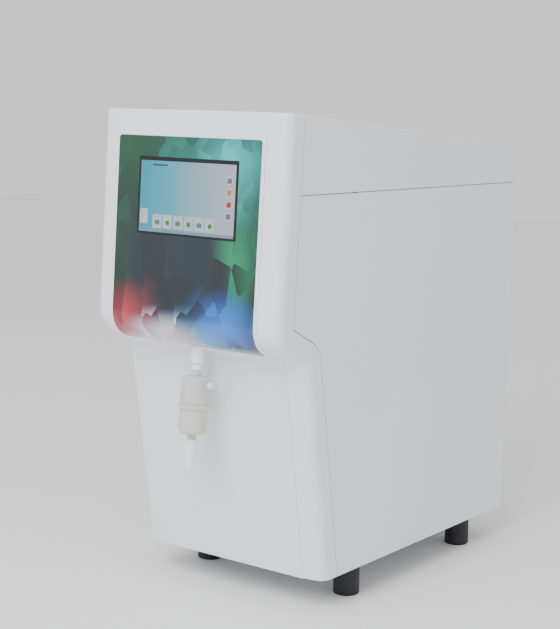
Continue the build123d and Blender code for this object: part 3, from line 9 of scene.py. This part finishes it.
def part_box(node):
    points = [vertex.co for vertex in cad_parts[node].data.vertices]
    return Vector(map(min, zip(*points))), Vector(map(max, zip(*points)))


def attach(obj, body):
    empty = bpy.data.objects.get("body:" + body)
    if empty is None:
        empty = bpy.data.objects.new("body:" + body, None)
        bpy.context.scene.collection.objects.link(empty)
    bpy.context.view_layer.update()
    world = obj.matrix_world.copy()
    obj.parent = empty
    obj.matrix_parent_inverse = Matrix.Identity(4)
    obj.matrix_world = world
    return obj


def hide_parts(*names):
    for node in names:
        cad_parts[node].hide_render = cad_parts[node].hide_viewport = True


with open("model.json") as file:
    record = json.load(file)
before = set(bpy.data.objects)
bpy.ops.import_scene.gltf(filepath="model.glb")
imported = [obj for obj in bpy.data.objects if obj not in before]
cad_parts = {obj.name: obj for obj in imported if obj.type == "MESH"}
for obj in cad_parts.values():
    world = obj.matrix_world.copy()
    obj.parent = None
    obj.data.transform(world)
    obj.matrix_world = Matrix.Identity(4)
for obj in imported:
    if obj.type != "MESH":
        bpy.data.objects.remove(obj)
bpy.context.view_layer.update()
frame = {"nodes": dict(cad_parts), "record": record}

# Bench-top water purifier. Sizes in metres, angles in degrees
CREASE = 34.0
MERGE = 0.000002

# The touch glass, and its lit area placed from the middle of the glass
HEAD_LEAN = 3.06
GLASS_THICK = 0.0018
LIT_WIDTH = 0.1535
LIT_HEIGHT = 0.0895
LIT_SHIFT_X = -0.0003
LIT_SHIFT_UP = -0.001

# The picture on the screen: thin plates placed from the middle of the lit area
PICTURE_THICK = 0.00012
TILE_THICK = 0.00008
TILE_TOP = PICTURE_THICK + TILE_THICK
MARK_TOP = PICTURE_THICK + 2 * TILE_THICK
SIDE_TILE_PLACE = (-0.0690, -0.0255)
SIDE_TILE_SIZE = (0.0125, 0.0190)
SIDE_TILE_CORNER = 0.001
READINGS = 6
READING_LEFT = -0.0465
READING_UP = -0.0310
READING_STEP = 0.0172
READING_SIZE = (0.0150, 0.0175)
READING_CORNER = 0.0012
MARK_DROP = 0.0012
MARK_HEIGHT = 0.0062
MARK_CORNER = 0.0028
GREY_MARK_WIDTH = 0.0088
GREEN_MARK_WIDTH = 0.0062
KEY_X = 0.0675
KEY_TOP = 0.0250
KEY_STEP = 0.0145
KEY_SIZE = (0.0100, 0.0105)
KEY_CORNER = 0.0015
KEY_MARK_SIZE = (0.0066, 0.0066)
KEY_MARK_CORNER = 0.001
TITLE_PLACE = (-0.0450, 0.0395)
TITLE_SIZE = (0.0240, 0.0022)
FOOTER_UP = -0.0428
FOOTER_HEIGHT = 0.0038

# The screen's materials, in the order of their indices on the picture's mesh
BACK, WHITE, GREEN, GREY, AMBER, RED, VIOLET, BLUE, EDGE = range(9)
SCREEN_LAMPS = {
    "screen_white": (0.80, 0.83, 0.88),
    "screen_green": (0.03, 0.34, 0.06),
    "screen_grey": (0.20, 0.24, 0.34),
    "screen_amber": (0.80, 0.42, 0.04),
    "screen_red": (0.62, 0.03, 0.05),
    "screen_violet": (0.26, 0.12, 0.48),
    "screen_blue": (0.02, 0.08, 0.22),
    "screen_edge": (0.25, 0.45, 0.60),
}
LAMP_STRENGTH = 0.9
LAMP_SHADE = 0.86
SCREEN_TINTS = [(0.0, (0.010, 0.42, 0.62)), (0.35, (0.10, 0.55, 0.70)),
                (0.7, (0.42, 0.62, 0.70)), (1.0, (0.62, 0.64, 0.72))]
SCREEN_LEFT = -0.076
SCREEN_RIGHT = 0.078
SCREEN_STRENGTH = 0.95

# The film's print: a dark ground, slanting facets and soft glows
FILM_GROUND = (0.004, 0.012, 0.018)
FACET_SCALE = 34.0
FACET_STRETCH = (1.0, 0.0, 0.55)
FACET_TURN = (0, 34, 0)
FACET_STEP = (0.03, 0.0, 0.03)
FACET_DARK = 0.62
FACET_BRIGHT = 1.45
# Each glow's middle and reach, across and up the front, then its colour and its weight
FILM_GLOWS = [
    ((-0.10, 0.600), (0.12, 0.12), (0.0, 0.075, 0.030), 1.0),
    ((0.02, 0.605), (0.10, 0.07), (0.0, 0.120, 0.085), 1.0),
    ((0.09, 0.590), (0.075, 0.085), (0.02, 0.340, 0.330), 1.0),
    ((0.11, 0.480), (0.040, 0.11), (0.0, 0.160, 0.070), 0.9),
    ((-0.11, 0.480), (0.060, 0.14), (0.0, 0.045, 0.022), 0.9),
    ((-0.09, 0.392), (0.080, 0.060), (0.360, 0.020, 0.045), 1.0),
    ((0.085, 0.395), (0.080, 0.060), (0.010, 0.130, 0.520), 1.0),
    ((0.03, 0.375), (0.090, 0.040), (0.060, 0.320, 0.620), 0.9),
    ((-0.015, 0.372), (0.070, 0.034), (0.720, 0.620, 0.760), 1.0),
    ((0.0, 0.345), (0.16, 0.020), (0.200, 0.170, 0.330), 0.9),
]

# Noise values between which a patch or a grain goes from one end of its range to the other
PATCH_SPAN = (0.35, 0.65)
WIDE_SPAN = (0.3, 0.7)
GLOSS_SPREAD = 0.06
GLASS_SHADE = 0.96
WHITE_COVER = (0.80, 0.825, 0.875)

# The stage
FLOOR_SIZE = 12.0
FLOOR_DARK = (0.90, 0.90, 0.90)
FLOOR_LIGHT = (0.92, 0.92, 0.92)
SKY_STRENGTH = 1.0
LIGHT_TARGET = (0, -0.05, 0.32)

# The photograph's view: the azimuth runs from the front towards +X, lens and sensor in millimetres
CAMERA_PLACE = (1.16835, -1.67241, 0.65699)
CAMERA_AZIMUTH = 36.596
CAMERA_ELEVATION = 8.378
CAMERA_ROLL = 1.288
CAMERA_LENS = 82.98
CAMERA_SENSOR = 36.0
CAMERA_NEAR = 0.05

# Socket numbers of a colour Mix node, whose names aren't unique
MIX_FACTOR = 0
MIX_FIRST = 6
MIX_SECOND = 7
MIX_RESULT = 2

BODY_OF = {node: body for body, nodes in frame["record"]["behaviour"]["bodies"].items()
           for node in nodes}
SLOT_OF = {row["node"]: row["material_slot"] for row in frame["record"]["subparts"]}


# Parts of materials
def plug(material, socket, value):
    """Sets a socket to a value, or links another socket to it."""
    if isinstance(value, bpy.types.NodeSocket):
        material.node_tree.links.new(value, socket)
    else:
        socket.default_value = value


def feed(material, target, **sockets):
    """Plugs a node's sockets by their names, with _ for a space."""
    for name, value in sockets.items():
        plug(material, target.inputs[name.replace("_", " ")], value)


def node(material, kind, **sockets):
    """A new node of a kind, its sockets plugged."""
    made = material.node_tree.nodes.new(kind)
    feed(material, made, **sockets)
    return made


def finish(name, roughness, metallic=0.0, coat=0.0):
    """A new material and its shader."""
    material = bpy.data.materials.new(name)
    material.use_nodes = True
    shader = material.node_tree.nodes["Principled BSDF"]
    feed(material, shader, Roughness=roughness, Metallic=metallic, Coat_Weight=coat)
    return material, shader


def placed(material, scale=(1, 1, 1), turn=(0, 0, 0)):
    """Object coordinates, scaled and turned."""
    where = node(material, "ShaderNodeTexCoord").outputs["Object"]
    turn = [radians(angle) for angle in turn]
    mapping = node(material, "ShaderNodeMapping", Vector=where, Scale=scale, Rotation=turn)
    return mapping.outputs["Vector"]


def cloud(material, where, scale, detail=3.0):
    """Soft noise from 0 to 1."""
    texture = node(material, "ShaderNodeTexNoise", Vector=where, Scale=scale, Detail=detail)
    return texture.outputs["Fac"]


def ranged(material, value, low, high, from_low=0.0, from_high=1.0):
    """A value taken from one range to another."""
    made = node(material, "ShaderNodeMapRange", Value=value, From_Min=from_low, From_Max=from_high,
                To_Min=low, To_Max=high)
    return made.outputs["Result"]


def combined(material, operation, first, second):
    """The sum or product of two numbers or sockets."""
    made = material.node_tree.nodes.new("ShaderNodeMath")
    made.operation = operation
    plug(material, made.inputs[0], first)
    plug(material, made.inputs[1], second)
    return made.outputs["Value"]


def ramp(material, factor, stops):
    """The colour at a factor, from stops of a position and a colour."""
    made = node(material, "ShaderNodeValToRGB", Fac=factor)
    band = made.color_ramp
    while len(band.elements) < len(stops):
        band.elements.new(position=0.5)
    for element, (position, colour) in zip(band.elements, stops):
        element.position = position
        element.color = (*colour, 1)
    return made.outputs["Color"]


def mottled(material, where, first, second, scale, span=PATCH_SPAN):
    """Two colours in soft patches."""
    return ramp(material, cloud(material, where, scale), list(zip(span, (first, second))))


def graded(material, where, axis, low, high, stops, waver, scale, detail=3.0):
    """A tint that changes along an axis between two places, with a soft waver."""
    along = node(material, "ShaderNodeSeparateXYZ", Vector=where).outputs[axis]
    drift = ranged(material, cloud(material, where, scale, detail), -waver, waver)
    level = ranged(material, combined(material, "ADD", along, drift), 0.0, 1.0, low, high)
    return ramp(material, level, stops)


def opaque(colour):
    """A plain colour with its alpha; a socket stays as it is."""
    return colour if isinstance(colour, bpy.types.NodeSocket) else (*colour, 1)


def blended(material, first, second, factor=1.0, mode="MIX"):
    """Two colours or colour sockets mixed by a factor."""
    made = material.node_tree.nodes.new("ShaderNodeMix")
    made.data_type = "RGBA"
    made.blend_type = mode
    plug(material, made.inputs[MIX_FACTOR], factor)
    plug(material, made.inputs[MIX_FIRST], opaque(first))
    plug(material, made.inputs[MIX_SECOND], opaque(second))
    return made.outputs[MIX_RESULT]


def relief(material, shader, height, strength, depth):
    """Bump from a height socket, its depth in metres."""
    made = node(material, "ShaderNodeBump", Height=height, Strength=strength, Distance=depth)
    feed(material, shader, Normal=made.outputs["Normal"])


# Materials
def surface(name, colour, roughness, metallic=0.0, coat=0.0, spread=0.04, patch=14.0, fine=900.0,
            depth=0.00005, strength=0.25, stretch=(1, 1, 1)):
    """Mottled colour, uneven gloss and a fine grain."""
    material, shader = finish(name, roughness, metallic, coat)
    where = placed(material, stretch)
    low = [part * (1 - spread) for part in colour]
    high = [part * (1 + spread) for part in colour]
    grain = cloud(material, where, fine, detail=2.0)
    gloss = ranged(material, grain, roughness - GLOSS_SPREAD, roughness + GLOSS_SPREAD, *WIDE_SPAN)
    feed(material, shader, Base_Color=mottled(material, where, low, high, patch), Roughness=gloss)
    relief(material, shader, grain, strength, depth)
    return material


def milky(name, lower, upper, low_z, high_z):
    """Translucent moulded plastic whose tint changes with height."""
    material, shader = finish(name, roughness=0.24, coat=0.3)
    where = placed(material)
    tint = graded(material, where, "Z", low_z, high_z, [(0.0, lower), (1.0, upper)],
                  waver=0.003, scale=60.0)
    feed(material, shader, Base_Color=tint, Transmission_Weight=0.25, Subsurface_Weight=0.5,
         Subsurface_Radius=(0.010, 0.009, 0.006), Subsurface_Scale=0.5, IOR=1.42)
    relief(material, shader, cloud(material, where, scale=500.0), strength=0.15, depth=0.00004)
    return material


def glow(material, where, middle, reach):
    """1 at a point of the front, falling to 0 at the reach, as a socket."""
    across, up = middle
    wide, tall = reach
    centred = node(material, "ShaderNodeMapping", Vector=where,
                   Location=(-across / wide, 0, -up / tall), Scale=(1 / wide, 0, 1 / tall))
    away = node(material, "ShaderNodeVectorMath", Vector=centred.outputs["Vector"])
    away.operation = "LENGTH"
    fade = node(material, "ShaderNodeMapRange", Value=away.outputs["Value"], From_Min=1.0,
                From_Max=0.0)
    fade.interpolation_type = "SMOOTHSTEP"
    return fade.outputs["Result"]


def film_print():
    """Facets and soft glows in green, teal, blue and red: a generic pattern."""
    material, shader = finish("printed_film", roughness=0.16, coat=0.6)
    where = placed(material)
    slanting = placed(material, FACET_STRETCH, FACET_TURN)
    facets = node(material, "ShaderNodeTexVoronoi", Vector=slanting, Scale=FACET_SCALE)
    facets.distance = "MANHATTAN"
    # Each facet reads the glows a step to one side, by its own random colour
    stepped = node(material, "ShaderNodeVectorMath", Vector=facets.outputs["Color"])
    stepped.operation = "MULTIPLY_ADD"
    plug(material, stepped.inputs[1], FACET_STEP)
    plug(material, stepped.inputs[2], where)
    picture = FILM_GROUND
    for middle, reach, colour, weight in FILM_GLOWS:
        spot = glow(material, stepped.outputs["Vector"], middle, reach)
        picture = blended(material, picture, colour, combined(material, "MULTIPLY", spot, weight))
    tone = node(material, "ShaderNodeSeparateColor", Color=facets.outputs["Color"]).outputs["Red"]
    light = ranged(material, tone, FACET_DARK, FACET_BRIGHT)
    shade = node(material, "ShaderNodeCombineColor", Red=light, Green=light, Blue=light)
    picture = blended(material, picture, shade.outputs["Color"], mode="MULTIPLY")
    feed(material, shader, Base_Color=picture)
    relief(material, shader, cloud(material, where, scale=700.0), strength=0.08, depth=0.00002)
    return material


def screen_back():
    """The lit picture's ground, from blue at the left to grey, with soft clouds."""
    material, shader = finish("screen_back", roughness=0.18)
    tint = graded(material, placed(material), "X", SCREEN_LEFT, SCREEN_RIGHT, SCREEN_TINTS,
                  waver=0.012, scale=45.0, detail=2.0)
    feed(material, shader, Base_Color=(0.01, 0.01, 0.012, 1), Emission_Color=tint,
         Emission_Strength=SCREEN_STRENGTH)
    return material


def screen_lamp(name, colour):
    """One lit colour of the tiles and marks, slightly uneven."""
    material, shader = finish(name, roughness=0.2)
    dim = [part * LAMP_SHADE for part in colour]
    tint = mottled(material, placed(material), dim, colour, scale=160.0)
    feed(material, shader, Base_Color=(0.01, 0.01, 0.01, 1), Emission_Color=tint,
         Emission_Strength=LAMP_STRENGTH)
    return material


def board_green():
    """Solder mask with straight tracks."""
    material, shader = finish("board_green", roughness=0.35, coat=0.3)
    upright = placed(material, turn=(90, 0, 0))
    tracks = node(material, "ShaderNodeTexBrick", Vector=upright, Scale=90.0,
                  Color1=(0.01, 0.10, 0.04, 1), Color2=(0.012, 0.13, 0.05, 1),
                  Mortar=(0.03, 0.20, 0.08, 1), Mortar_Size=0.04)
    feed(material, shader, Base_Color=tracks.outputs["Color"])
    grain = cloud(material, placed(material), scale=300.0)
    relief(material, shader, grain, strength=0.2, depth=0.00005)
    return material


def tinted_glass(name, colour, clear):
    """Smooth glass that lets a share of the light through."""
    material, shader = finish(name, roughness=0.05, coat=0.2)
    dim = [part * GLASS_SHADE for part in colour]
    tint = mottled(material, placed(material), dim, colour, scale=40.0, span=WIDE_SPAN)
    feed(material, shader, Base_Color=tint, Transmission_Weight=clear, IOR=1.46)
    return material


FINISHES = {
    "case_plastic": surface("white_case_plastic", WHITE_COVER, roughness=0.36, coat=0.12,
                            spread=0.012, patch=6.0, fine=1400.0, depth=0.00003, strength=0.18),
    "cover_paint": surface("white_powder_coat", WHITE_COVER, roughness=0.42, spread=0.012,
                           patch=5.0, fine=1000.0, depth=0.00006, strength=0.3),
    "sheet_steel": surface("plated_sheet", (0.56, 0.57, 0.59), roughness=0.34, metallic=0.9,
                           spread=0.08, patch=30.0, stretch=(1, 8, 8), fine=700.0),
    "fixings": surface("plated_fixing", (0.50, 0.51, 0.53), roughness=0.28, metallic=1.0,
                       spread=0.1, patch=120.0),
    "film": film_print(),
    "display_can": surface("black_can", (0.02, 0.02, 0.024), roughness=0.4),
    "circuit_board": board_green(),
    "spacers": surface("brass_spacer", (0.62, 0.46, 0.20), roughness=0.25, metallic=1.0,
                       patch=200.0),
    "foot_rubber": surface("foot_rubber", (0.012, 0.012, 0.014), roughness=0.62, spread=0.35,
                           patch=70.0, fine=1500.0, depth=0.00012, strength=0.6),
    "tray_plastic": surface("grey_tray", (0.12, 0.13, 0.15), roughness=0.55, spread=0.08,
                            depth=0.0001, strength=0.4),
    "canister": surface("canister_white", (0.72, 0.75, 0.78), roughness=0.3, coat=0.2,
                        spread=0.03),
    "head_plastic": surface("head_blue", (0.02, 0.07, 0.24), roughness=0.4, spread=0.08),
    "membrane": surface("membrane_fleece", (0.80, 0.79, 0.70), roughness=0.9, spread=0.08,
                        patch=90.0, fine=1800.0, depth=0.0001, strength=0.7,
                        stretch=(1, 1, 0.3)),
    "stainless": surface("turned_stainless", (0.60, 0.61, 0.62), roughness=0.22, metallic=1.0,
                         spread=0.05, stretch=(1, 1, 14)),
    "dark_plastic": surface("black_plastic", (0.014, 0.014, 0.016), roughness=0.42, spread=0.2,
                            depth=0.0001, strength=0.4),
    "motor_paint": surface("motor_enamel", (0.018, 0.018, 0.02), roughness=0.32, coat=0.3,
                           spread=0.15),
    "manifold_plastic": surface("manifold_plastic", (0.60, 0.60, 0.57), roughness=0.45,
                                spread=0.05),
    "probe_steel": surface("probe_steel", (0.55, 0.55, 0.57), roughness=0.24, metallic=1.0,
                           stretch=(1, 1, 12)),
    "blue_tube": surface("blue_tube", (0.03, 0.13, 0.50), roughness=0.28, coat=0.2, spread=0.05),
    "clear_tube": surface("natural_tube", (0.76, 0.79, 0.80), roughness=0.25, coat=0.2,
                          spread=0.04),
    "rocker_plastic": surface("rocker_black", (0.01, 0.01, 0.011), roughness=0.2, coat=0.4,
                              spread=0.2),
    "supply_case": surface("supply_aluminium", (0.62, 0.63, 0.64), roughness=0.35, metallic=0.9,
                           stretch=(1, 1, 9)),
    "outlet_plastic": surface("white_outlet", (0.84, 0.86, 0.88), roughness=0.3, coat=0.2,
                              spread=0.02),
    "lamp_glass": tinted_glass("quartz", (0.85, 0.90, 0.95), clear=0.8),
    "glass": tinted_glass("black_border_glass", (0.004, 0.005, 0.007), clear=0.0),
    "capsule_ivory": milky("capsule_ivory", lower=(0.80, 0.80, 0.66), upper=(0.74, 0.77, 0.77),
                           low_z=0.268, high_z=0.312),
    "capsule_yellow": milky("capsule_yellow", lower=(0.74, 0.76, 0.64), upper=(0.86, 0.86, 0.72),
                            low_z=0.232, high_z=0.262),
}


# Pieces
def meshed(shape, name, materials):
    """A mesh object at the origin, made from a bmesh."""
    mesh = bpy.data.meshes.new(name)
    shape.to_mesh(mesh)
    shape.free()
    for material in materials:
        mesh.materials.append(material)
    made = bpy.data.objects.new(name, mesh)
    bpy.context.scene.collection.objects.link(made)
    return made


def finished(shape, name, body, materials, replaced=()):
    """A piece of the object, riding on a body."""
    piece = meshed(shape, name, materials)
    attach(piece, body)
    if replaced:
        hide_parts(*replaced)


def crease(shape):
    """Smooth shading, broken at the edges that turn by more than the crease angle."""
    for face in shape.faces:
        face.smooth = True
    for edge in shape.edges:
        edge.smooth = len(edge.link_faces) == 2 and edge.calc_face_angle(0.0) < radians(CREASE)


def merged(source):
    """A bmesh of a node's triangles with their common points joined."""
    shape = bmesh.new()
    shape.from_mesh(frame["nodes"][source].data)
    bmesh.ops.remove_doubles(shape, verts=shape.verts, dist=MERGE)
    return shape


def dressed(source):
    """The node's own shape, smooth across its rounds and creased at its corners."""
    shape = merged(source)
    crease(shape)
    slot = SLOT_OF[source]
    finished(shape, source + "_finished", BODY_OF[source], [FINISHES[slot]], [source])


FACE_MIDDLE = sum((Vector(corner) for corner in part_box("touch_glass")), Vector()) / 2
FACE_OUT = Vector((0, -cos(radians(HEAD_LEAN)), sin(radians(HEAD_LEAN))))
FACE_UP = Vector((0, sin(radians(HEAD_LEAN)), cos(radians(HEAD_LEAN))))


def on_glass():
    """Places flat work, drawn in X and Y, on the front of the glass."""
    origin = (FACE_MIDDLE + FACE_OUT * (GLASS_THICK / 2) + Vector((LIT_SHIFT_X, 0, 0))
              + FACE_UP * LIT_SHIFT_UP)
    turn = Matrix((Vector((1, 0, 0)), FACE_UP, FACE_OUT)).transposed().to_4x4()
    return Matrix.Translation(origin) @ turn


def flat_tile(shape, middle, size, top, colour, corner=0.0):
    """A plate on XY from z 0 to its top, with rounded corners and a material's index."""
    points = bmesh.ops.create_cube(shape, size=1.0)["verts"]
    bmesh.ops.scale(shape, verts=points, vec=(*size, top))
    bmesh.ops.translate(shape, verts=points, vec=(*middle, top / 2))
    for face in {face for point in points for face in point.link_faces}:
        face.material_index = colour
    if corner:
        edges = dict.fromkeys(edge for point in points for edge in point.link_edges)
        upright = [edge for edge in edges
                   if abs(edge.verts[0].co.z - edge.verts[1].co.z) > top / 2]
        bmesh.ops.bevel(shape, geom=upright, offset=corner, segments=3, affect="EDGES",
                        profile=0.5, material=-1)


def reading_tiles(shape):
    """The row of tiles along the foot of the screen, their marks grey and green by turns."""
    for index in range(READINGS):
        x = READING_LEFT + index * READING_STEP
        mark, width = (GREEN, GREEN_MARK_WIDTH) if index % 2 else (GREY, GREY_MARK_WIDTH)
        flat_tile(shape, (x, READING_UP), READING_SIZE, TILE_TOP, WHITE, READING_CORNER)
        flat_tile(shape, (x, READING_UP - MARK_DROP), (width, MARK_HEIGHT), MARK_TOP, mark,
                  MARK_CORNER)


def side_keys(shape):
    """The column of keys at the right of the screen, each with a coloured mark."""
    for index, mark in enumerate((GREY, AMBER, RED, VIOLET)):
        place = (KEY_X, KEY_TOP - index * KEY_STEP)
        flat_tile(shape, place, KEY_SIZE, TILE_TOP, WHITE, KEY_CORNER)
        flat_tile(shape, place, KEY_MARK_SIZE, MARK_TOP, mark, KEY_MARK_CORNER)


def screen_picture():
    """The lit panel with its tiles, keys, title bar and footer."""
    shape = bmesh.new()
    flat_tile(shape, (0, 0), (LIT_WIDTH, LIT_HEIGHT), PICTURE_THICK, BACK)
    flat_tile(shape, SIDE_TILE_PLACE, SIDE_TILE_SIZE, TILE_TOP, WHITE, SIDE_TILE_CORNER)
    reading_tiles(shape)
    side_keys(shape)
    flat_tile(shape, TITLE_PLACE, TITLE_SIZE, TILE_TOP, BLUE)
    flat_tile(shape, (0.0, FOOTER_UP), (LIT_WIDTH, FOOTER_HEIGHT), TILE_TOP, EDGE)
    bmesh.ops.transform(shape, matrix=on_glass(), verts=shape.verts)
    colours = [screen_back()] + [screen_lamp(*lamp) for lamp in SCREEN_LAMPS.items()]
    finished(shape, "screen_picture", "case", colours)


# Stage
def floor():
    """A large pale floor."""
    shape = bmesh.new()
    bmesh.ops.create_grid(shape, x_segments=1, y_segments=1, size=FLOOR_SIZE / 2)
    material, shader = finish("pale_floor", roughness=0.9)
    where = placed(material)
    tint = mottled(material, where, FLOOR_DARK, FLOOR_LIGHT, scale=0.5, span=WIDE_SPAN)
    feed(material, shader, Base_Color=tint)
    ground = meshed(shape, "floor", [material])


def soft_light(name, azimuth, elevation, distance, size, power):
    """An area light round the object; azimuth from the front towards +X."""
    around = radians(azimuth)
    up = radians(elevation)
    away = Vector((sin(around) * cos(up), -cos(around) * cos(up), sin(up)))
    lamp = bpy.data.lights.new(name, "AREA")
    lamp.shape = "SQUARE"
    lamp.size = size
    lamp.energy = power
    made = bpy.data.objects.new(name, lamp)
    made.location = Vector(LIGHT_TARGET) + away * distance
    made.rotation_euler = away.to_track_quat("Z", "Y").to_euler()
    bpy.context.scene.collection.objects.link(made)


def sky():
    """Even white light from all round."""
    world = bpy.data.worlds.new("studio")
    world.use_nodes = True
    background = world.node_tree.nodes["Background"]
    feed(world, background, Color=(1, 1, 1, 1), Strength=SKY_STRENGTH)
    bpy.context.scene.world = world


def camera():
    """The photograph's view."""
    view = bpy.data.cameras.new("view")
    view.lens = CAMERA_LENS
    view.sensor_width = CAMERA_SENSOR
    view.clip_start = CAMERA_NEAR
    made = bpy.data.objects.new("view", view)
    around = Matrix.Rotation(radians(CAMERA_AZIMUTH), 4, "Z")
    tilt = Matrix.Rotation(radians(90 - CAMERA_ELEVATION), 4, "X")
    roll = Matrix.Rotation(radians(CAMERA_ROLL), 4, "Z")
    made.matrix_world = Matrix.Translation(Vector(CAMERA_PLACE)) @ around @ tilt @ roll
    bpy.context.scene.collection.objects.link(made)
    bpy.context.scene.camera = made


for name in frame["nodes"]:
    dressed(name)
screen_picture()
floor()
sky()
soft_light("key", azimuth=12, elevation=38, distance=2.6, size=1.4, power=60)
camera()
